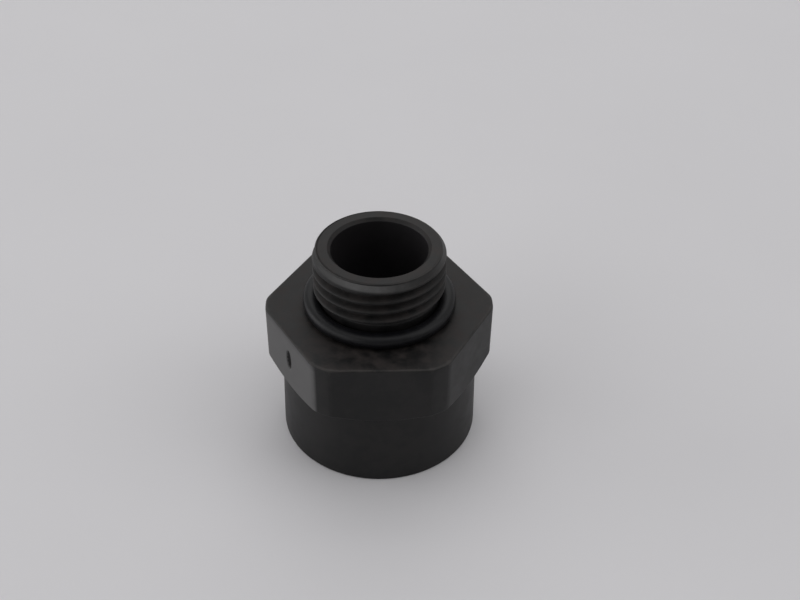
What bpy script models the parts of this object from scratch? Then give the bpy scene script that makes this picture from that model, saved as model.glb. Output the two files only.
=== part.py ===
"""Hex reducing adapter for pipes: a male G 1/2 spigot, a hexagon and a female G 3/4 socket.

The body is one moulding. Two rubber seals go with it: an O-ring at the root of the male thread,
and a flat washer at the bottom of the socket. Metres, +Z up along the axis. The origin is the
centre of the socket's end face, and the hexagon has two corners on the X axis.
"""

import math

import bmesh
import bpy
from mathutils import Matrix

MM = 0.001

# ---- Driving dimensions --------------------------------------------------------------------------

# Parallel pipe threads: both sizes have 14 turns to the inch and a 55 degree form.
THREAD_PITCH = 25.4 / 14 * MM
MALE_MAJOR_RADIUS = 20.955 / 2 * MM
FEMALE_MAJOR_RADIUS = 26.441 / 2 * MM
THREAD_DEPTH = 0.6403 * THREAD_PITCH
FLANK_ANGLE = math.radians(27.5)

# Collar around the socket: the wall outside the thread, and what the mould's draft takes off it.
COLLAR_WALL = 2.9795 * MM
COLLAR_DRAFT = 0.3 * MM
COLLAR_EDGE_CHAMFER = 0.3 * MM

# Hexagon: its flats stand a little proud of the collar, its corners are turned down to a circle,
# and its underside has a 30 degree chamfer.
FLAT_OVER_COLLAR = 0.3 * MM
CORNER_OVER_FLAT = 1.7 * MM
HEX_CORNER_BOTTOM = 14.4 * MM
HEX_CORNER_HEIGHT = 9.4 * MM
HEX_CHAMFER_ANGLE = math.radians(30)

# Spigot above the hexagon, with its end chamfers. The wall is measured to the thread's crests.
SPIGOT_LENGTH = 11.0 * MM
SPIGOT_WALL = 2.8775 * MM
TIP_CHAMFER_WIDTH = 0.63 * MM
TIP_CHAMFER_LENGTH = 1.0 * MM
BORE_CHAMFER = 0.5 * MM

# Seals, and the gap that keeps two touching pieces apart.
O_RING_SECTION_RADIUS = 1.15 * MM
WASHER_THICKNESS = 2.4 * MM
WASHER_HOLE_OVER_BORE = 0.6 * MM
SEAL_GAP = 0.3 * MM

# Male thread: how far one crest is below the tip on the -Y side, and its run-out above the O-ring.
MALE_CREST_BELOW_TIP = 1.34 * MM
THREAD_OVER_O_RING = 0.4 * MM
RUN_OUT_TURN = 0.4
NECK_STEP = 0.28 * MM

# Socket: the thread, then a relief groove that keeps the washer, then the floor.
SOCKET_FLOOR = 5.8 * MM
RELIEF_BELOW_WASHER = 0.7 * MM
RELIEF_OVER_THREAD = 0.1 * MM
MOUTH_OVER_THREAD = 0.3 * MM
FEMALE_CREST_HEIGHT = 1.0 * MM

# Oval recess at the middle of the flat whose normal is at 210 degrees.
RECESS_ANGLE = math.radians(210)
RECESS_BELOW_HEX_TOP = 4.85 * MM
RECESS_DEPTH = 0.5 * MM
RECESS_HALF_WIDTH = 0.8 * MM
RECESS_HALF_HEIGHT = 1.9 * MM

# Facets round a full turn, and the stock that the cuts take away.
TURNED_STEPS = 60
THREAD_STEPS = 30
SEAL_STEPS = 48
SEAL_SECTION_STEPS = 12
RECESS_STEPS = 16
STOCK = 0.5 * MM
RIDGE_FOOT = 0.12 * MM
RIDGE_OVERLAP = 0.4 * MM

# ---- Worked out from the dimensions above --------------------------------------------------------

COLLAR_RADIUS = FEMALE_MAJOR_RADIUS + COLLAR_WALL
COLLAR_TOP_RADIUS = COLLAR_RADIUS - COLLAR_DRAFT
FLAT_DISTANCE = COLLAR_RADIUS + FLAT_OVER_COLLAR
HEX_CORNER_RADIUS = FLAT_DISTANCE + CORNER_OVER_FLAT
HEX_TOP = HEX_CORNER_BOTTOM + HEX_CORNER_HEIGHT
TIP = HEX_TOP + SPIGOT_LENGTH
COLLAR_TOP = HEX_CORNER_BOTTOM - (HEX_CORNER_RADIUS - COLLAR_TOP_RADIUS) * math.tan(HEX_CHAMFER_ANGLE)
BORE_RADIUS = MALE_MAJOR_RADIUS - SPIGOT_WALL
MALE_MINOR_RADIUS = MALE_MAJOR_RADIUS - THREAD_DEPTH
FEMALE_MINOR_RADIUS = FEMALE_MAJOR_RADIUS - THREAD_DEPTH
NECK_RADIUS = MALE_MINOR_RADIUS + NECK_STEP
RELIEF_RADIUS = FEMALE_MAJOR_RADIUS + RELIEF_OVER_THREAD
SOCKET_DEPTH = HEX_TOP - SOCKET_FLOOR
RELIEF_BOTTOM = SOCKET_DEPTH - SEAL_GAP - WASHER_THICKNESS - RELIEF_BELOW_WASHER
MOUTH_RADIUS = FEMALE_MAJOR_RADIUS + MOUTH_OVER_THREAD
THREAD_END = HEX_TOP + SEAL_GAP + 2 * O_RING_SECTION_RADIUS + THREAD_OVER_O_RING


def clear_scene():
    """Remove every object that the file starts with."""
    for item in list(bpy.data.objects):
        bpy.data.objects.remove(item, do_unlink=True)


def new_collection(name):
    """A collection linked to the scene."""
    group = bpy.data.collections.new(name)
    bpy.context.scene.collection.children.link(group)
    return group


def new_material(name, colour, roughness):
    """A plain finish without metal in it."""
    finish = bpy.data.materials.new(name)
    finish.use_nodes = True
    shader = finish.node_tree.nodes["Principled BSDF"]
    shader.inputs["Base Color"].default_value = (*colour, 1.0)
    shader.inputs["Roughness"].default_value = roughness
    shader.inputs["Metallic"].default_value = 0.0
    return finish


def object_from(bm, name, group):
    """Turn a bmesh into a named object of a collection."""
    mesh = bpy.data.meshes.new(name)
    bm.to_mesh(mesh)
    bm.free()
    item = bpy.data.objects.new(name, mesh)
    group.objects.link(item)
    return item


def turned(name, group, profile, steps):
    """A turned ring: a closed profile of (radius, height) whose outer side runs downwards."""
    bm = bmesh.new()
    corners = [bm.verts.new((radius, 0.0, height)) for radius, height in profile]
    for first, second in zip(corners, corners[1:] + corners[:1]):
        bm.edges.new((first, second))
    item = object_from(bm, name, group)
    screw = item.modifiers.new("Turn", "SCREW")
    screw.axis = "Z"
    screw.angle = math.tau
    screw.steps = steps
    screw.render_steps = steps
    screw.use_merge_vertices = True
    screw.merge_threshold = 0.00001
    screw.use_smooth_shade = True
    return item


def as_cutter(item):
    """Show a cutter as a wire, and keep it out of the model."""
    item.hide_render = True
    item.display_type = "WIRE"
    return item


def combine(item, other, operation):
    """Add an exact Boolean modifier."""
    boolean = item.modifiers.new(other.name, "BOOLEAN")
    boolean.object = other
    boolean.operation = operation
    boolean.solver = "EXACT"


def ridge_half_height(radius, major_radius):
    """Half the height of a thread's ridge at a radius. At mid depth it is a quarter of the pitch."""
    pitch_radius = major_radius - THREAD_DEPTH / 2
    return THREAD_PITCH / 4 + (pitch_radius - radius) * math.tan(FLANK_ANGLE)


def ridge_section(major_radius, sink):
    """The ridge's corners as (radius, height), with a foot inside the core. sink lowers the crest."""
    foot_radius = major_radius - THREAD_DEPTH - RIDGE_FOOT
    foot = ridge_half_height(foot_radius, major_radius)
    crest = ridge_half_height(major_radius, major_radius)
    upper = [(foot_radius - RIDGE_OVERLAP, foot), (foot_radius, foot), (major_radius - sink, crest)]
    return upper + [(radius, -height) for radius, height in reversed(upper)]


def thread_ridge(name, group, major_radius, crest_height, bottom, top, run_out_turn=0.0):
    """A right-hand helical ridge whose crest passes crest_height on the -Y side.

    It runs from bottom to top, and its crest comes up out of the core over run_out_turn of a turn.
    """
    rise = THREAD_PITCH / THREAD_STEPS
    first = math.floor((bottom - crest_height) / rise)
    last = math.ceil((top - crest_height) / rise)
    bm = bmesh.new()
    rings = []
    for step in range(first, last + 1):
        sink = 0.0
        if step - first < run_out_turn * THREAD_STEPS:
            share_left = 1 - (step - first) / (run_out_turn * THREAD_STEPS)
            sink = share_left * (THREAD_DEPTH + RIDGE_FOOT / 2)
        angle = step * math.tau / THREAD_STEPS - math.pi / 2
        rings.append([
            bm.verts.new((radius * math.cos(angle), radius * math.sin(angle),
                          crest_height + step * rise + height))
            for radius, height in ridge_section(major_radius, sink)
        ])
    for ring in rings:
        for start, end in zip(ring, ring[1:] + ring[:1]):
            bm.edges.new((start, end))
    for lower, upper in zip(rings, rings[1:]):
        loops = [bm.edges.get(pair) for ring in (lower, upper) for pair in zip(ring, ring[1:] + ring[:1])]
        bmesh.ops.bridge_loops(bm, edges=loops)
    bm.faces.new(rings[0])
    bm.faces.new(rings[-1])
    bmesh.ops.recalc_face_normals(bm, faces=bm.faces)
    return as_cutter(object_from(bm, name, group))


def hexagon_prism(name, group):
    """The hexagon's six flats, as a prism longer than the body. Two corners are on the X axis."""
    length = TIP + 4 * STOCK
    corner_radius = FLAT_DISTANCE / math.cos(math.pi / 6)
    bm = bmesh.new()
    bmesh.ops.create_cone(bm, cap_ends=True, segments=6, radius1=corner_radius,
                          radius2=corner_radius, depth=length)
    rightmost = max(bm.verts, key=lambda vert: vert.co.x).co
    turn = Matrix.Rotation(-math.atan2(rightmost.y, rightmost.x), 3, "Z")
    bmesh.ops.rotate(bm, verts=bm.verts, matrix=turn)
    bmesh.ops.translate(bm, verts=bm.verts, vec=(0, 0, length / 2 - 2 * STOCK))
    return as_cutter(object_from(bm, name, group))


def tip_envelope(name, group):
    """What stays of the stock at the tip: below the end face and inside the tip's chamfer."""
    tip_radius = MALE_MAJOR_RADIUS - TIP_CHAMFER_WIDTH
    cone_height = 2 * TIP_CHAMFER_LENGTH
    cone_radius = tip_radius + 2 * TIP_CHAMFER_WIDTH
    wide = 2 * HEX_CORNER_RADIUS
    profile = [(BORE_RADIUS / 2, TIP), (tip_radius, TIP), (cone_radius, TIP - cone_height),
               (wide, TIP - cone_height), (wide, -2 * STOCK), (BORE_RADIUS / 2, -2 * STOCK)]
    return as_cutter(turned(name, group, profile, TURNED_STEPS))


def recess_cutter(name, group):
    """An oval that dents the middle of one flat."""
    bm = bmesh.new()
    bmesh.ops.create_uvsphere(bm, u_segments=RECESS_STEPS, v_segments=RECESS_STEPS // 2, radius=1.0)
    size = (RECESS_DEPTH, RECESS_HALF_WIDTH, RECESS_HALF_HEIGHT)
    bmesh.ops.scale(bm, verts=bm.verts, vec=size)
    place = (FLAT_DISTANCE, 0, HEX_TOP - RECESS_BELOW_HEX_TOP)
    bmesh.ops.translate(bm, verts=bm.verts, vec=place)
    bmesh.ops.rotate(bm, verts=bm.verts, matrix=Matrix.Rotation(RECESS_ANGLE, 3, "Z"))
    return as_cutter(object_from(bm, name, group))


def body_profile():
    """The body as it is turned, before its flats and threads: outer side down, then inner side up."""
    stock_top = TIP + STOCK
    outer = [
        (MALE_MINOR_RADIUS, stock_top),
        (MALE_MINOR_RADIUS, THREAD_END + NECK_STEP),
        (NECK_RADIUS, THREAD_END),
        (NECK_RADIUS, HEX_TOP),
        (HEX_CORNER_RADIUS, HEX_TOP),
        (HEX_CORNER_RADIUS, HEX_CORNER_BOTTOM),
        (COLLAR_TOP_RADIUS, COLLAR_TOP),
        (COLLAR_RADIUS, COLLAR_EDGE_CHAMFER),
        (COLLAR_RADIUS - COLLAR_EDGE_CHAMFER, 0.0),
    ]
    inner = [
        (MOUTH_RADIUS, 0.0),
        (FEMALE_MINOR_RADIUS, MOUTH_RADIUS - FEMALE_MINOR_RADIUS),
        (FEMALE_MINOR_RADIUS, RELIEF_BOTTOM),
        (RELIEF_RADIUS, RELIEF_BOTTOM),
        (RELIEF_RADIUS, SOCKET_DEPTH),
        (BORE_RADIUS, SOCKET_DEPTH),
        (BORE_RADIUS, TIP - BORE_CHAMFER),
        (BORE_RADIUS + BORE_CHAMFER + STOCK, stock_top),
    ]
    return outer + inner


def make_hex_body(parts, cutters, finish):
    """The moulding: turned body, male thread, flats, tip chamfer, female thread and oval recess."""
    body = turned("hex_body", parts, body_profile(), TURNED_STEPS)
    body.data.materials.append(finish)
    male = thread_ridge("male_thread_ridge", cutters, MALE_MAJOR_RADIUS, TIP - MALE_CREST_BELOW_TIP,
                        THREAD_END, TIP + THREAD_PITCH, RUN_OUT_TURN)
    female = thread_ridge("female_thread_groove", cutters, FEMALE_MAJOR_RADIUS, FEMALE_CREST_HEIGHT,
                          -THREAD_PITCH, RELIEF_BOTTOM + THREAD_PITCH / 2)
    combine(body, male, "UNION")
    combine(body, hexagon_prism("hexagon_flats", cutters), "INTERSECT")
    combine(body, tip_envelope("tip_envelope", cutters), "INTERSECT")
    combine(body, female, "DIFFERENCE")
    combine(body, recess_cutter("oval_recess", cutters), "DIFFERENCE")
    return body


def make_o_ring(parts, finish):
    """The O-ring round the neck, lying on the hexagon's top face."""
    ring_radius = NECK_RADIUS + SEAL_GAP + O_RING_SECTION_RADIUS
    ring_height = HEX_TOP + SEAL_GAP + O_RING_SECTION_RADIUS
    bpy.ops.mesh.primitive_torus_add(
        major_radius=ring_radius, minor_radius=O_RING_SECTION_RADIUS, major_segments=SEAL_STEPS,
        minor_segments=SEAL_SECTION_STEPS, location=(0, 0, ring_height))
    ring = bpy.context.object
    ring.name = "o_ring_seal"
    ring.data.name = ring.name
    ring.data.shade_smooth()
    for group in list(ring.users_collection):
        group.objects.unlink(ring)
    parts.objects.link(ring)
    ring.data.materials.append(finish)
    return ring


def make_washer(parts, finish):
    """The flat washer that lies against the socket's floor, inside the relief groove."""
    outer = RELIEF_RADIUS - SEAL_GAP
    inner = BORE_RADIUS + WASHER_HOLE_OVER_BORE
    top = SOCKET_DEPTH - SEAL_GAP
    bottom = top - WASHER_THICKNESS
    washer = turned("socket_washer", parts,
                    [(outer, top), (outer, bottom), (inner, bottom), (inner, top)], SEAL_STEPS)
    washer.data.materials.append(finish)
    return washer


def build():
    """Model the adapter."""
    clear_scene()
    parts = new_collection("hex_reducing_adapter")
    cutters = new_collection("cutters")
    plastic = new_material("black_moulded_plastic", (0.022, 0.021, 0.021), 0.5)
    rubber = new_material("black_seal_rubber", (0.012, 0.012, 0.014), 0.6)
    make_hex_body(parts, cutters, plastic)
    make_o_ring(parts, rubber)
    make_washer(parts, rubber)


build()
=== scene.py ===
"""Looks of the hex reducing adapter: a black moulded body with an O-ring and a socket washer."""
import math

import bmesh
import bpy
import numpy as np
from mathutils import Matrix, Vector


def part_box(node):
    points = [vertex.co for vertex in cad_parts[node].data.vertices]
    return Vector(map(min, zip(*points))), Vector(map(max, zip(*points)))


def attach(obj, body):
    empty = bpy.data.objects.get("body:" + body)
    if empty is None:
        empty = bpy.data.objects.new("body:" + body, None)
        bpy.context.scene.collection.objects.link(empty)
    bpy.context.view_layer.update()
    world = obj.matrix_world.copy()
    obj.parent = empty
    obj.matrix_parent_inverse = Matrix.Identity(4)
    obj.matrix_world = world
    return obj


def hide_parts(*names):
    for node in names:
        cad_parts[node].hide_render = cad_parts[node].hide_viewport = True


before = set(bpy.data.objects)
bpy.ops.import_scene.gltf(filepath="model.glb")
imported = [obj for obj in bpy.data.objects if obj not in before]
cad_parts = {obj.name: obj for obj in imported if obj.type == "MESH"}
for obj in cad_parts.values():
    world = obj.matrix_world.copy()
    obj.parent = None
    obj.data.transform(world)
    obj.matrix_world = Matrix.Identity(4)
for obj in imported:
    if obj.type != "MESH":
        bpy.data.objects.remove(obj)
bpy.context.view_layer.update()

MM = 0.001

# ---- Sizes -----------------------------------------------------------------------------

body_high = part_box("hex_body")[1]
ring_low, ring_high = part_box("o_ring_seal")
washer_low, washer_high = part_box("socket_washer")

# Read from the frame: the tip's height, the hexagon across its flats and over its turned corners.
TIP = body_high.z
FLAT_DISTANCE = body_high.y
CORNER_RADIUS = body_high.x

# The rest of the body's design, as the solid was drawn.
SPIGOT_LENGTH = 11.0 * MM
HEX_TOP = TIP - SPIGOT_LENGTH
HEX_CORNER_BOTTOM = 14.4 * MM
HEX_CHAMFER_SLOPE = math.tan(math.radians(30))
COLLAR_RADIUS = 16.2 * MM
COLLAR_TOP_RADIUS = 15.9 * MM
COLLAR_TOP = HEX_CORNER_BOTTOM - (CORNER_RADIUS - COLLAR_TOP_RADIUS) * HEX_CHAMFER_SLOPE
BORE_RADIUS = 7.6 * MM
BORE_CHAMFER = 0.5 * MM
TIP_CHAMFER_WIDTH = 0.63 * MM
TIP_CHAMFER_LENGTH = 1.0 * MM

# The roundings of the turned outline's tip and hexagon, and of the hexagon's upright edges.
TIP_ROUNDING = 0.12 * MM
HEX_ROUNDING = 0.3 * MM
UPRIGHT_ROUNDING = 0.32 * MM

# Both threads: 14 turns to the inch, 55 degrees.
PITCH = 25.4 / 14 * MM
THREAD_DEPTH = 0.6403 * PITCH
FLANK_SLOPE = 1 / math.tan(math.radians(27.5))
MALE_MAJOR = 20.955 / 2 * MM
FEMALE_MAJOR = 26.441 / 2 * MM
MALE_MINOR = MALE_MAJOR - THREAD_DEPTH
FEMALE_MINOR = FEMALE_MAJOR - THREAD_DEPTH
MALE_CREST = TIP - 1.34 * MM
FEMALE_CREST = 1.0 * MM
THREAD_ROUNDING = 0.3 * MM
THREAD_END = HEX_TOP + 3.0 * MM
RUN_OUT_TURNS = 0.45
NECK_RADIUS = MALE_MINOR + 0.28 * MM
NECK_TAPER = 0.6 * MM

# The lip above the first crest, and the faint line round the end face.
LIP_UNDER_CHAMFER = 0.09 * MM
LINE_INSIDE_EDGE = 0.1 * MM
LINE_DEPTH = 0.16 * MM
LINE_WIDTH = 0.13 * MM
LINE_TURN = math.radians(110)

# The socket's relief groove, floor and mouth.
SOCKET_DEPTH = 18.0 * MM
RELIEF_BOTTOM = SOCKET_DEPTH - 3.4 * MM
RELIEF_RADIUS = FEMALE_MAJOR + 0.1 * MM
MOUTH_RADIUS = FEMALE_MAJOR + 0.3 * MM

# The oval recess at the middle of one flat.
RECESS_ANGLE = math.radians(210)
RECESS_HEIGHT = HEX_TOP - 4.85 * MM
RECESS_HALF_WIDTH = 0.8 * MM
RECESS_HALF_HEIGHT = 1.9 * MM
RECESS_DEPTH = 0.45 * MM
RECESS_CUTS = 9

# The painted highlights on the lip: the middle and the spread of the front one and of the side
# one.
FRONT_LIP_HIGHLIGHT = (math.radians(-103), math.radians(34))
SIDE_LIP_HIGHLIGHT = (math.radians(-5), math.radians(26))

# The O-ring's section: points round it, how full its corners are, and its gaps to the body.
RING_POINTS = 48
RING_FULLNESS = 0.92
RING_NECK_GAP = 0.03 * MM
RING_FACE_GAP = 0.02 * MM

# The washer's clearance round the bore, its rounding, and its longest step.
WASHER_CLEARANCE = 0.6 * MM
WASHER_ROUNDING = 0.25 * MM
WASHER_STEP = 0.8 * MM

# The camera: where it stands, how it is turned in radians, and its lens in millimetres.
CAMERA_AWAY = 139.546 * MM
CAMERA_HEIGHT = 134.111 * MM
CAMERA_ROUND = 0.01159
CAMERA_TILT = 0.66668
CAMERA_PAN = 0.02355
CAMERA_ROLL = 0.01416
LENS = 49.98

# The table: its half width in metres, and how far it lies under the part.
TABLE_HALF_WIDTH = 2.0
TABLE_GAP = 0.01 * MM

# How many columns a turned piece has, and how close two points count as one place or height.
COLUMNS = 216
SEAL_COLUMNS = 192
SAME_PLACE = 1e-7
SAME_HEIGHT = 1e-6

# The colours of the plastic and of the dust on it, of its wear with a painted highlight on the
# tip's edge, of a painted sheen and painted highlights, and of painted light in the bore.
BLACK_LOW = (0.0032, 0.0032, 0.0034)
BLACK_HIGH = (0.0092, 0.0084, 0.0084)
DUST = (0.032, 0.025, 0.0235)
# Painted sheen on one flat and painted highlights on the lip.
PAINTED_SHEEN = (0.095, 0.094, 0.094)
# Wear on edges and crests, and a painted highlight on the tip's edge.
BARE_EDGE_AND_TIP_HIGHLIGHT = (0.045, 0.042, 0.040)
# Painted light inside the bore, paler than the black.
PAINTED_BORE_LIGHT = (0.017, 0.0155, 0.017)

# The colours of the seals and of the table.
O_RING_BLACK = (0.0050, 0.0050, 0.0068)
WASHER_BLACK = (0.02, 0.02, 0.021)
TABLE_LOW = (0.695, 0.685, 0.705)
TABLE_HIGH = (0.73, 0.72, 0.74)


# ---- Shapes ----------------------------------------------------------------------------

def fillet(before, corner, after, radius, steps=5):
    """Points of a round corner of an outline, from the run that arrives to the run that leaves."""
    arriving = (before - corner).normalized()
    leaving = (after - corner).normalized()
    half = arriving.angle(leaving) / 2
    reach = radius / math.tan(half)
    centre = corner + (arriving + leaving).normalized() * radius / math.sin(half)
    start = corner + arriving * reach - centre
    end = corner + leaving * reach - centre
    return [centre + start.slerp(end, step / steps) * radius for step in range(steps + 1)]


def outline(corners):
    """A closed outline from corners of (radius, height, fillet, longest step after it)."""
    places = [Vector(corner[:2]) for corner in corners]
    count = len(corners)
    rounded = []
    for index, (place, corner) in enumerate(zip(places, corners)):
        if corner[2]:
            after = places[(index + 1) % count]
            rounded.append(fillet(places[index - 1], place, after, corner[2]))
        else:
            rounded.append([place])
    points = []
    for index, (arc, corner) in enumerate(zip(rounded, corners)):
        points += arc
        start, end = arc[-1], rounded[(index + 1) % count][0]
        pieces = max(1, math.ceil((end - start).length / corner[3]))
        points += [start.lerp(end, piece / pieces) for piece in range(1, pieces)]
    return points


def spun(points, columns=COLUMNS):
    """A bmesh that turns a closed outline of (radius, height) a full turn round the Z axis."""
    bm = bmesh.new()
    ring = [bm.verts.new((point[0], 0, point[1])) for point in points]
    for first, second in zip(ring, ring[1:] + ring[:1]):
        bm.edges.new((first, second))
    bmesh.ops.spin(bm, geom=bm.verts[:] + bm.edges[:], cent=(0, 0, 0), axis=(0, 0, 1),
                   angle=math.tau, steps=columns, use_merge=True)
    bmesh.ops.remove_doubles(bm, verts=bm.verts, dist=SAME_PLACE)
    bmesh.ops.recalc_face_normals(bm, faces=bm.faces)
    return bm


def least(first, second, blend):
    """The smaller of two sizes, with a round corner of width blend where they cross."""
    near = np.clip(1 - np.abs(first - second) / blend, 0, 1)
    return np.minimum(first, second) - near * near * blend / 4


def most(first, second, blend):
    """The larger of two sizes, with a round corner where they cross."""
    return -least(-first, -second, blend)


def smooth(share):
    """A share from 0 to 1 that starts and ends gently."""
    share = np.clip(share, 0, 1)
    return share * share * (3 - 2 * share)


def nearness(distance, width):
    """A share of 1 at distance 0 that fades to almost nothing at twice the width."""
    return np.exp(-((distance / width) ** 2))


def thread_radius(angle, height, major, crest_height):
    """A 55 degree thread's radius, and how many turns along it the nearest crest is."""
    turn = (angle + math.pi / 2) / math.tau
    place = (height - crest_height) / PITCH - turn
    crest = np.round(place)
    off_crest = np.abs(place - crest) * PITCH
    flank = major - THREAD_DEPTH / 2 + (PITCH / 4 - off_crest) * FLANK_SLOPE
    radius = least(flank, major, THREAD_ROUNDING)
    radius = most(radius, major - THREAD_DEPTH, THREAD_ROUNDING)
    return radius, crest + turn


def male_surface(angle, height):
    """The spigot's radius: thread, its run-out into the neck, and the tip's lip and chamfer.

    The lip fills in the groove above the first crest. It starts at a step on the -X side.
    """
    thread, turns = thread_radius(angle, height, MALE_MAJOR, MALE_CREST)
    first_turn = (THREAD_END - MALE_CREST) / PITCH
    grown = smooth((turns - first_turn) / RUN_OUT_TURNS)
    core = NECK_RADIUS + (MALE_MINOR - NECK_RADIUS) * smooth((height - THREAD_END) / NECK_TAPER)
    radius = most(core + (thread - MALE_MINOR) * grown, core, 0.05 * MM)
    below_tip = TIP - height
    chamfer = MALE_MAJOR - TIP_CHAMFER_WIDTH * (1 - below_tip / TIP_CHAMFER_LENGTH)
    first_crest = MALE_CREST + (angle + math.pi / 2) / math.tau * PITCH
    lip = least(chamfer, MALE_MAJOR, 0.2 * MM) - LIP_UNDER_CHAMFER
    radius = np.where(height > first_crest, most(radius, lip, 0.12 * MM), radius)
    return least(radius, chamfer, 0.25 * MM)


def female_surface(angle, height):
    """The socket thread's radius: its groove is where a male thread's crest would be."""
    return thread_radius(angle, height, FEMALE_MAJOR, FEMALE_CREST)[0]


def flat_surface(angle):
    """How far out the hexagon's flats are at an angle, with two corners on the X axis."""
    sector = math.tau / 6
    off_middle = (angle % sector) - sector / 2
    return FLAT_DISTANCE / np.cos(off_middle)


def crowd_columns(angle):
    """Move a mesh's columns towards the hexagon's twelve upright edges, where they are needed."""
    sector = math.tau / 6
    edge = math.acos(FLAT_DISTANCE / CORNER_RADIUS)
    edge_from_corner = sector / 2 - edge
    ladder = np.linspace(0, sector / 2, 400)
    crowding = 1 + 6 * nearness(ladder - edge_from_corner, math.radians(1.1))
    reached = np.concatenate([[0], np.cumsum((crowding[1:] + crowding[:-1]) / 2)])
    reached *= sector / 2 / reached[-1]
    corner = np.round(angle / sector)
    off = angle - corner * sector
    return corner * sector + np.sign(off) * np.interp(np.abs(off), reached, ladder)


def body_outline():
    """The body's outline before its flats and threads: from the bore's mouth down, and back up."""
    fine = 0.07 * MM
    socket_step = 0.15 * MM
    coarse = 1.0 * MM
    return outline([
        (BORE_RADIUS + BORE_CHAMFER, TIP, 0.15 * MM, fine),
        (NECK_RADIUS, TIP, TIP_ROUNDING, fine),
        (NECK_RADIUS, THREAD_END - 0.5 * MM, 0, 0.3 * MM),
        (NECK_RADIUS, HEX_TOP, 0.25 * MM, 0.5 * MM),
        (CORNER_RADIUS, HEX_TOP, HEX_ROUNDING, coarse),
        (CORNER_RADIUS, HEX_CORNER_BOTTOM, 0.2 * MM, 0.09 * MM),
        (COLLAR_TOP_RADIUS, COLLAR_TOP, 0.25 * MM, coarse),
        (COLLAR_RADIUS, 0, 0.3 * MM, 0.4 * MM),
        (MOUTH_RADIUS, 0, 0.1 * MM, socket_step),
        (FEMALE_MINOR, MOUTH_RADIUS - FEMALE_MINOR, 0, socket_step),
        (FEMALE_MINOR, RELIEF_BOTTOM, 0, 0.5 * MM),
        (RELIEF_RADIUS, RELIEF_BOTTOM, 0.1 * MM, 0.5 * MM),
        (RELIEF_RADIUS, SOCKET_DEPTH, 0.3 * MM, 0.8 * MM),
        (BORE_RADIUS, SOCKET_DEPTH, 0.2 * MM, coarse),
        (BORE_RADIUS, TIP - BORE_CHAMFER, 0.1 * MM, 0.2 * MM),
    ])


def shape_spigot(angle, radius, height):
    """Thread the spigot, and let the end face's edge follow the thread's start."""
    change = male_surface(angle, height) - NECK_RADIUS
    face_start = BORE_RADIUS + BORE_CHAMFER + 0.1 * MM
    face_end = NECK_RADIUS - TIP_ROUNDING
    share = np.clip((radius - face_start) / (face_end - face_start), 0, 1)
    here = (height > HEX_TOP + 0.6 * MM) & (radius > face_start)
    return np.where(here, radius + change * share, radius)


def line_end_face(angle, radius, height):
    """Sink a faint line round the end face's outer edge, deeper on the left."""
    left = 0.4 + 0.6 * smooth(0.5 - np.sin(angle + LINE_TURN))
    off_line = radius - (MALE_MAJOR - TIP_CHAMFER_WIDTH - LINE_INSIDE_EDGE)
    depth = LINE_DEPTH * left * nearness(off_line, LINE_WIDTH)
    return np.where(height > TIP - 0.01 * MM, height - depth, height)


def shape_hexagon(angle, radius, height):
    """Cut the flats: the sides directly, and the top face's edge along with them."""
    flats = flat_surface(angle)
    side = least(flats, radius, UPRIGHT_ROUNDING)
    edge = least(flats, CORNER_RADIUS, UPRIGHT_ROUNDING) - CORNER_RADIUS
    face_start = 12.6 * MM
    round_start = CORNER_RADIUS - HEX_ROUNDING
    share = np.clip((radius - face_start) / (round_start - face_start), 0, 1)
    top = radius + edge * share
    between = (height > COLLAR_TOP - 0.2 * MM) & (height <= HEX_TOP + SAME_HEIGHT)
    in_hexagon = between & (radius > face_start)
    rounded = height > HEX_TOP - HEX_ROUNDING
    return np.where(in_hexagon, np.where(rounded, top, side), radius)


def shape_socket(angle, radius, height):
    """Thread the socket, its mouth's chamfer and the step at its relief groove."""
    groove = female_surface(angle, height)
    cut = most(radius, groove, 0.06 * MM)
    share = (radius - FEMALE_MINOR) / (RELIEF_RADIUS - FEMALE_MINOR)
    step = groove + share * (RELIEF_RADIUS - groove)
    inside = (radius < MOUTH_RADIUS - 0.02 * MM) & (radius > FEMALE_MINOR - 0.01 * MM)
    on_step = inside & (np.abs(height - RELIEF_BOTTOM) < 0.005 * MM)
    on_thread = inside & (height < RELIEF_BOTTOM - 0.005 * MM)
    return np.where(on_step, step, np.where(on_thread, cut, radius))


def reshape_body(bm):
    """Move the turned body's points onto its threads and flats."""
    places = np.array([vert.co for vert in bm.verts])
    angle = crowd_columns(np.arctan2(places[:, 1], places[:, 0]))
    radius = np.hypot(places[:, 0], places[:, 1])
    height = places[:, 2]
    radius = shape_spigot(angle, radius, height)
    height = line_end_face(angle, radius, height)
    radius = shape_hexagon(angle, radius, height)
    radius = shape_socket(angle, radius, height)
    moved = np.stack([radius * np.cos(angle), radius * np.sin(angle), height], axis=1)
    for vert, place in zip(bm.verts, moved):
        vert.co = place


def press_recess(bm):
    """Sink the oval recess into its flat, on a patch of finer faces."""
    normal = Vector((math.cos(RECESS_ANGLE), math.sin(RECESS_ANGLE), 0))
    across = Vector((-normal.y, normal.x, 0))
    middle = normal * FLAT_DISTANCE + Vector((0, 0, RECESS_HEIGHT))

    def reach(place):
        offset = place - middle
        return math.hypot(offset.dot(across) / RECESS_HALF_WIDTH, offset.z / RECESS_HALF_HEIGHT)

    def on_flat(place):
        return abs((place - middle).dot(normal)) < 0.02 * MM

    patch = [face for face in bm.faces
             if reach(face.calc_center_median()) < 2.1 and on_flat(face.calc_center_median())]
    edges = list({edge for face in patch for edge in face.edges})
    bmesh.ops.subdivide_edges(bm, edges=edges, cuts=RECESS_CUTS, use_grid_fill=True)
    for vert in bm.verts:
        if on_flat(vert.co) and reach(vert.co) < 1.3:
            depth = 1 - float(smooth((reach(vert.co) - 0.72) / 0.36))
            vert.co -= normal * RECESS_DEPTH * depth


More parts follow.
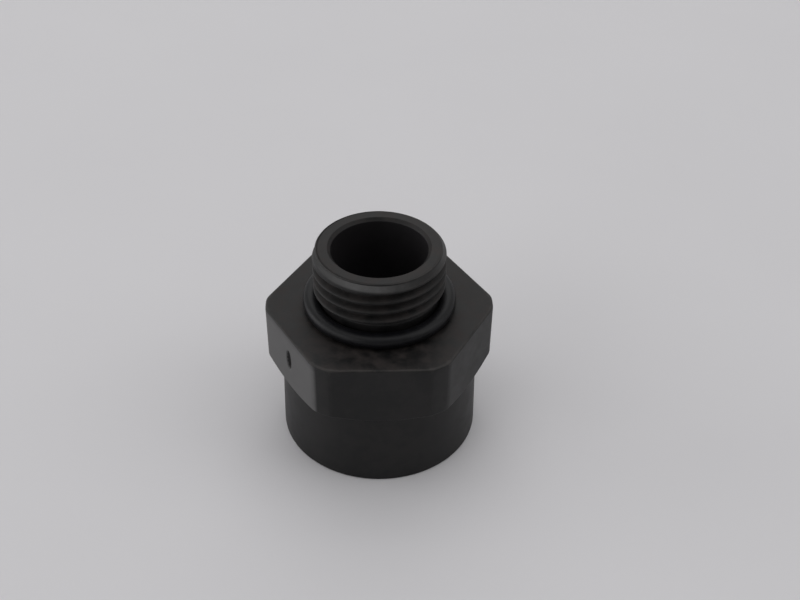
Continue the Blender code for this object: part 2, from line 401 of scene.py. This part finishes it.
def finished(bm, name, node, finish):
    """A smooth piece that rides on the part and stands for its CAD node."""
    mesh = bpy.data.meshes.new(name)
    bm.to_mesh(mesh)
    bm.free()
    mesh.shade_smooth()
    mesh.materials.append(finish)
    piece = bpy.data.objects.new(name, mesh)
    bpy.context.scene.collection.objects.link(piece)
    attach(piece, "root")
    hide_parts(node)
    return piece


def store(mesh, name, values):
    """Keep a share from 0 to 1 at every point, for the finish to read."""
    layer = mesh.attributes.new(name, "FLOAT", "POINT")
    layer.data.foreach_set("value", np.clip(values, 0, 1).astype(np.float32))


def bare_and_tip_highlight_share(angle, radius, height, on_side):
    """Where the plastic wears bare on the hexagon's edges and the crests, and a painted highlight
    on the tip's edge.
    """
    sector = math.tau / 6
    off_corner = np.abs(angle - np.round(angle / sector) * sector)
    upright = off_corner - (sector / 2 - math.acos(FLAT_DISTANCE / CORNER_RADIUS))
    edge_upright = nearness(upright * radius, 0.35 * MM) * on_side
    edge_top = nearness(HEX_TOP - height, 0.25 * MM) * on_side
    rim = least(flat_surface(angle), CORNER_RADIUS, UPRIGHT_ROUNDING)
    edge_top = edge_top * nearness(rim - radius, 0.45 * MM)
    crest = smooth((radius - MALE_MAJOR + 0.3 * MM) / (0.3 * MM)) * (height > HEX_TOP + 2 * MM)
    # The tip's edge is a painted highlight, not wear.
    tip = nearness(TIP - height, 0.15 * MM)
    tip = tip * nearness(radius - MALE_MAJOR + TIP_CHAMFER_WIDTH, 0.25 * MM)
    return edge_upright * 0.3 + edge_top + crest * 0.3 + tip


def painted_sheen_share(angle, radius, height, on_side):
    """Where a painted sheen lies on the recess's flat, and painted highlights on two stretches of
    the lip.
    """
    # A painted sheen over the flat that holds the recess.
    across = np.abs(angle % math.tau - RECESS_ANGLE) * FLAT_DISTANCE
    half_flat = FLAT_DISTANCE * math.tan(math.acos(FLAT_DISTANCE / CORNER_RADIUS))
    on_flat = smooth((half_flat - across) / (0.5 * MM) + 0.5) * on_side
    on_flat = on_flat * smooth((height - COLLAR_TOP) / (0.4 * MM))
    on_flat = on_flat * smooth((HEX_TOP - 0.15 * MM - height) / (0.25 * MM))
    # Painted highlights on the lip above the first crest.
    below_tip = TIP - height
    lip = smooth((below_tip - 0.02 * MM) / (0.15 * MM))
    lip = lip * smooth((1.3 * MM - below_tip) / (0.4 * MM))
    lip = lip * (radius > MALE_MAJOR - 0.6 * MM) * (radius < MALE_MAJOR + 0.1 * MM)
    front = nearness(angle - FRONT_LIP_HIGHLIGHT[0], FRONT_LIP_HIGHLIGHT[1])
    side = nearness(angle - SIDE_LIP_HIGHLIGHT[0], SIDE_LIP_HIGHLIGHT[1])
    return on_flat + lip * (front * 1.1 + side * 0.6)


def mark_wear_and_painted_light(mesh):
    """Mark the body's wear with a painted highlight on the tip's edge, its painted sheen and
    highlights, and painted light in the bore.
    """
    places = np.array([vert.co for vert in mesh.vertices])
    angle = np.arctan2(places[:, 1], places[:, 0])
    radius = np.hypot(places[:, 0], places[:, 1])
    height = places[:, 2]
    on_side = (radius > FLAT_DISTANCE * 0.99) & (height < HEX_TOP + SAME_HEIGHT)
    # The bore's inside gets painted light.
    in_bore = (radius < BORE_RADIUS + 0.05 * MM) & (height > SOCKET_DEPTH)
    store(mesh, "bare_and_tip_highlight", bare_and_tip_highlight_share(angle, radius, height, on_side))
    store(mesh, "painted_sheen_and_highlight", painted_sheen_share(angle, radius, height, on_side))
    store(mesh, "bore_painted_light", in_bore.astype(float))


def make_body(finish):
    """The moulded body."""
    bm = spun(body_outline())
    reshape_body(bm)
    press_recess(bm)
    bmesh.ops.recalc_face_normals(bm, faces=bm.faces)
    body = finished(bm, "moulded_body", "hex_body", finish)
    mark_wear_and_painted_light(body.data)
    weighted = body.modifiers.new("Even shading", "WEIGHTED_NORMAL")
    weighted.keep_sharp = True


def make_o_ring(finish):
    """The O-ring, gripped by the neck and slightly flattened on the hexagon's top face."""
    inner = NECK_RADIUS + RING_NECK_GAP
    bottom = HEX_TOP + RING_FACE_GAP
    half_width = (ring_high.x - inner) / 2
    half_height = (ring_high.z - ring_low.z) / 2
    middle = Vector((inner + half_width, bottom + half_height))
    section = []
    for point in range(RING_POINTS):
        turn = -math.tau * point / RING_POINTS
        across = math.copysign(abs(math.cos(turn)) ** RING_FULLNESS, math.cos(turn))
        along = math.copysign(abs(math.sin(turn)) ** RING_FULLNESS, math.sin(turn))
        section.append(middle + Vector((across * half_width, along * half_height)))
    bm = spun(section, SEAL_COLUMNS)
    finished(bm, "o_ring", "o_ring_seal", finish)


def make_washer(finish):
    """The flat washer at the bottom of the socket."""
    inner = BORE_RADIUS + WASHER_CLEARANCE
    bm = spun(outline([
        (washer_high.x, washer_high.z, WASHER_ROUNDING, WASHER_STEP),
        (washer_high.x, washer_low.z, WASHER_ROUNDING, WASHER_STEP),
        (inner, washer_low.z, WASHER_ROUNDING, WASHER_STEP),
        (inner, washer_high.z, WASHER_ROUNDING, WASHER_STEP),
    ]), SEAL_COLUMNS)
    finished(bm, "washer", "socket_washer", finish)


# ---- Finishes --------------------------------------------------------------------------

class Wire:
    """A value in a shader tree. Python's operators on it add Math nodes."""

    def __init__(self, finish, socket):
        self.finish = finish
        self.socket = socket

    def math(self, operation, first, second):
        """One Math node."""
        return self.finish.node("Math", {"operation": operation}, {0: first, 1: second})

    def __add__(self, other):
        return self.math("ADD", self, other)

    __radd__ = __add__

    def __sub__(self, other):
        return self.math("SUBTRACT", self, other)

    def __rsub__(self, other):
        return self.math("SUBTRACT", other, self)

    def __mul__(self, other):
        return self.math("MULTIPLY", self, other)

    __rmul__ = __mul__


class Finish:
    """A material whose nodes are written as expressions."""

    def __init__(self, name):
        self.material = bpy.data.materials.new(name)
        self.material.use_nodes = True
        self.tree = self.material.node_tree
        self.shader = self.tree.nodes["Principled BSDF"]
        self.place = self.node("TexCoord", out="Object")

    def node(self, kind, settings=None, sockets=None, out=0):
        """Add a node: its settings first, then the values or links of its sockets."""
        made = self.tree.nodes.new("ShaderNode" + kind)
        for name, value in (settings or {}).items():
            setattr(made, name, value)
        for name, value in (sockets or {}).items():
            if isinstance(value, Wire):
                self.tree.links.new(value.socket, made.inputs[name])
            else:
                made.inputs[name].default_value = value
        return Wire(self, made.outputs[out])

    def noise(self, size, detail=3.0, roughness=0.55, stretch=(1, 1, 1)):
        """Noise whose features are about size metres across."""
        place = self.node("Mapping", None, {"Vector": self.place, "Scale": stretch})
        return self.node("TexNoise", None, {"Vector": place, "Scale": 1 / size, "Detail": detail,
                                            "Roughness": roughness})

    def mark(self, name):
        """How strongly the mesh is marked, from one of its own attributes."""
        return self.node("Attribute", {"attribute_name": name}, out="Fac")

    def ramp(self, value, low, high):
        """Turn a value into a share: 0 below low, 1 above high."""
        return self.node("MapRange", {"clamp": True, "interpolation_type": "SMOOTHSTEP"},
                         {"Value": value, "From Min": low, "From Max": high})

    def mix(self, share, first, second):
        """Mix two colours, each a link or three numbers."""
        colours = [value if isinstance(value, Wire) else (*value, 1) for value in (first, second)]
        return self.node("Mix", {"data_type": "RGBA"}, {0: share, 6: colours[0], 7: colours[1]}, 2)

    def set(self, **sockets):
        """Set or link the shader's sockets. An underscore in a name stands for a space."""
        for name, value in sockets.items():
            socket = self.shader.inputs[name.replace("_", " ")]
            if isinstance(value, Wire):
                self.tree.links.new(value.socket, socket)
            else:
                socket.default_value = value


def up_facing(finish):
    """How much a surface faces up."""
    normal = finish.node("NewGeometry", out="Normal")
    axes = finish.tree.nodes.new("ShaderNodeSeparateXYZ")
    finish.tree.links.new(normal.socket, axes.inputs[0])
    return finish.ramp(Wire(finish, axes.outputs["Z"]), 0.2, 0.95)


def body_plastic():
    """Black moulded plastic: grain, dust on what faces up, wear on edges with a painted highlight
    on the tip's edge, painted sheen and highlights where marked, and painted light in the bore.
    """
    finish = Finish("black_moulded_plastic")
    cloud = finish.noise(7 * MM, 4.0)
    patches = finish.noise(2.2 * MM, 5.0, 0.6)
    grain = finish.noise(0.22 * MM, 3.0, 0.6)
    fine = finish.noise(0.07 * MM, 2.0)
    flow = finish.noise(4 * MM, 2.0, 0.5, (1, 1, 0.25))
    bare_and_tip_highlight = finish.mark("bare_and_tip_highlight")
    painted_sheen_and_highlight = finish.mark("painted_sheen_and_highlight")
    bore_painted_light = finish.mark("bore_painted_light")

    mottle = finish.ramp(cloud * 0.45 + patches * 0.55, 0.4, 0.6)
    black = finish.mix(mottle, BLACK_LOW, BLACK_HIGH)
    dusty = finish.ramp(patches, 0.28, 0.78) * up_facing(finish)
    dusted = finish.mix(dusty * 0.7, black, DUST)
    # Painted sheen on one flat and painted highlights on the lip.
    painted_sheens = painted_sheen_and_highlight * (0.75 + finish.ramp(patches, 0.3, 0.7) * 0.25)
    with_painted_sheen = finish.mix(painted_sheens, dusted, PAINTED_SHEEN)
    # Wear on edges and crests, and a painted highlight on the tip's edge.
    wear_and_tip_highlight = finish.ramp(bare_and_tip_highlight * (0.55 + patches * 0.9), 0.25, 1.0)
    with_wear_and_highlight = finish.mix(wear_and_tip_highlight * 0.5, with_painted_sheen, BARE_EDGE_AND_TIP_HIGHLIGHT)
    # Painted light inside the bore.
    colour = finish.mix(bore_painted_light * 0.9, with_wear_and_highlight, PAINTED_BORE_LIGHT)

    rough = 0.38 + patches * 0.24 + dusty * 0.1 - wear_and_tip_highlight * 0.06
    height = grain * 0.7 + fine * 0.3 + flow * 1.5
    bump = finish.node("Bump", None, {"Strength": 0.35, "Distance": 0.012 * MM, "Height": height},
                       "Normal")
    finish.set(Base_Color=colour, Roughness=rough, Normal=bump, IOR=1.38)
    return finish.material


def seal_rubber(name, tint):
    """Black rubber with faint bloom and a soft sheen."""
    finish = Finish(name)
    bloom = finish.noise(1.6 * MM, 4.0, 0.6)
    grain = finish.noise(0.12 * MM, 2.0)
    dark = tuple(0.55 * share for share in tint)
    colour = finish.mix(finish.ramp(bloom, 0.35, 0.7), dark, tint)
    bump = finish.node("Bump", None, {"Strength": 0.3, "Distance": 0.008 * MM, "Height": grain},
                       "Normal")
    finish.set(Base_Color=colour, Roughness=0.36 + bloom * 0.16, Normal=bump, IOR=1.36)
    return finish.material


def table_paper():
    """Pale matt table surface with a hint of unevenness."""
    finish = Finish("pale_table")
    cloud = finish.noise(60 * MM, 3.0)
    finish.set(Base_Color=finish.mix(cloud, TABLE_LOW, TABLE_HIGH), Roughness=0.75)
    return finish.material


# ---- Stage -----------------------------------------------------------------------------

def make_table():
    """The pale surface that the part stands on."""
    bm = bmesh.new()
    bmesh.ops.create_grid(bm, x_segments=1, y_segments=1, size=TABLE_HALF_WIDTH)
    bmesh.ops.translate(bm, verts=bm.verts, vec=(0, 0, -TABLE_GAP))
    mesh = bpy.data.meshes.new("table")
    bm.to_mesh(mesh)
    bm.free()
    mesh.materials.append(table_paper())
    table = bpy.data.objects.new("table", mesh)
    bpy.context.scene.collection.objects.link(table)


def soft_box(name, turn, rise, away, size, power):
    """A square lamp that faces the part, from a direction given in degrees."""
    turn, rise = math.radians(turn), math.radians(rise)
    level = math.cos(rise)
    place = Vector((math.cos(turn) * level, math.sin(turn) * level, math.sin(rise))) * away
    lamp = bpy.data.lights.new(name, "AREA")
    lamp.shape = "SQUARE"
    lamp.size = size
    lamp.energy = power
    item = bpy.data.objects.new(name, lamp)
    item.location = place
    item.rotation_euler = (-place).to_track_quat("-Z", "Y").to_euler()
    bpy.context.scene.collection.objects.link(item)


def light_room():
    """A room that is darker in front, a large soft box overhead and weaker ones round the part."""
    world = bpy.data.worlds.new("room")
    world.use_nodes = True
    tree = world.node_tree
    direction = tree.nodes.new("ShaderNodeTexCoord")
    axes = tree.nodes.new("ShaderNodeSeparateXYZ")
    shade = tree.nodes.new("ShaderNodeMapRange")
    shade.interpolation_type = "SMOOTHSTEP"
    for name, value in {"From Min": -0.7, "From Max": 0.3, "To Min": 0.2, "To Max": 0.42}.items():
        shade.inputs[name].default_value = value
    tree.links.new(direction.outputs["Generated"], axes.inputs[0])
    tree.links.new(axes.outputs["Y"], shade.inputs["Value"])
    tree.links.new(shade.outputs[0], tree.nodes["Background"].inputs["Strength"])
    tree.nodes["Background"].inputs["Color"].default_value = (1.0, 1.0, 1.0, 1)
    bpy.context.scene.world = world
    soft_box("overhead", 90, 89, 1.5, 1.6, 4.7)
    soft_box("behind", 90, 45, 1.2, 1.0, 2.1)
    soft_box("left_low", 170, 14, 1.2, 0.7, 2.9)
    soft_box("left_front", 215, 25, 1.2, 0.8, 2.4)
    soft_box("right", -10, 40, 1.2, 0.8, 1.9)


def make_camera():
    """The camera, in front of the part and above it."""
    lens = bpy.data.cameras.new("camera")
    lens.sensor_width = 36
    lens.lens = LENS
    lens.clip_start = 0.01
    camera = bpy.data.objects.new("camera", lens)
    away = Matrix.Translation((0, -CAMERA_AWAY, CAMERA_HEIGHT))
    place = Matrix.Rotation(-CAMERA_ROUND, 4, "Z") @ away
    pan = Matrix.Rotation(-CAMERA_PAN, 4, "Z")
    tilt = Matrix.Rotation(math.pi / 2 - CAMERA_TILT, 4, "X")
    roll = Matrix.Rotation(CAMERA_ROLL, 4, "Z")
    camera.matrix_world = place @ pan @ tilt @ roll
    bpy.context.scene.collection.objects.link(camera)
    bpy.context.scene.camera = camera


make_camera()
bpy.context.scene.view_settings.view_transform = "Standard"
light_room()
make_table()
make_body(body_plastic())
make_o_ring(seal_rubber("o_ring_rubber", O_RING_BLACK))
make_washer(seal_rubber("washer_rubber", WASHER_BLACK))
